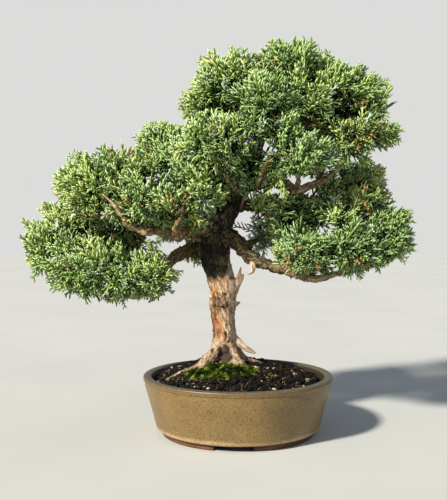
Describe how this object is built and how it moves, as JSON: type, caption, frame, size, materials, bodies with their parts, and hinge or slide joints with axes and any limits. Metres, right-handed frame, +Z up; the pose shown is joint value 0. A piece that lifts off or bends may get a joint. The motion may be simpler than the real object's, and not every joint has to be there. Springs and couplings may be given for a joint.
{
  "type": "potted bonsai tree",
  "caption": "Juniper bonsai with a bare curved trunk, dead stubs, surface roots and spreading pads of scale-leaved sprays, in a round glazed stoneware pot with cut feet, grit soil and moss.",
  "frame": {"origin": "middle of the bounding box's foot, on the surface that the pot stands on", "axes": "+Z up along the trunk, -Y towards the viewer of the tree's front, +X to the viewer's right; the pot's feet rest on the floor plane"},
  "size_m": [0.4056, 0.2404, 0.4143],
  "materials": {
    "glazed_stoneware": "speckled ochre semi-matt glaze, pale where it breaks at the bottom edge, bare clay on the foot",
    "netting": "black moulded net",
    "soil": "damp dark grit with pale grains",
    "moss": "short olive cushion moss",
    "juniper_wood": "peeling brown bark, orange where it is fresh, grey dead wood",
    "juniper_foliage": "scale leaves, dark inside, yellow-green at the tips"
  },
  "bodies": {
    "root": {"pot": "glazed_stoneware", "drain_screen": "netting", "soil": "soil", "moss": "moss", "trunk": "juniper_wood", "foliage_apex": "juniper_foliage", "foliage_back_left_high": "juniper_foliage", "foliage_back_left_low": "juniper_foliage", "foliage_back_low": "juniper_foliage", "foliage_crown_heart": "juniper_foliage", "foliage_crown_right_heart": "juniper_foliage", "foliage_front_crown": "juniper_foliage", "foliage_front_right": "juniper_foliage", "foliage_front_under": "juniper_foliage", "foliage_left_low_back": "juniper_foliage", "foliage_left_low_front": "juniper_foliage", "foliage_left_low_inner": "juniper_foliage", "foliage_left_low_rear": "juniper_foliage", "foliage_left_low_tip": "juniper_foliage", "foliage_left_mid_crown": "juniper_foliage", "foliage_left_mid_front": "juniper_foliage", "foliage_left_mid_inner": "juniper_foliage", "foliage_left_mid_low": "juniper_foliage", "foliage_left_mid_tip": "juniper_foliage", "foliage_left_mid_under": "juniper_foliage", "foliage_mid_left_heart": "juniper_foliage", "foliage_right_high": "juniper_foliage", "foliage_right_high_tip": "juniper_foliage", "foliage_right_low_inner": "juniper_foliage", "foliage_right_low_mid": "juniper_foliage", "foliage_right_low_tip": "juniper_foliage", "foliage_right_mid_back": "juniper_foliage", "foliage_right_mid_front": "juniper_foliage", "foliage_right_mid_hang": "juniper_foliage", "foliage_right_mid_high": "juniper_foliage", "foliage_right_mid_inner": "juniper_foliage", "foliage_right_mid_low": "juniper_foliage", "foliage_right_mid_tip": "juniper_foliage", "foliage_right_mid_top": "juniper_foliage", "foliage_top_back": "juniper_foliage", "foliage_top_front": "juniper_foliage", "foliage_top_left": "juniper_foliage", "foliage_top_left_back": "juniper_foliage", "foliage_top_left_crest": "juniper_foliage", "foliage_top_right": "juniper_foliage", "foliage_top_right_back": "juniper_foliage", "foliage_top_right_front": "juniper_foliage"}
  },
  "joints": []
}
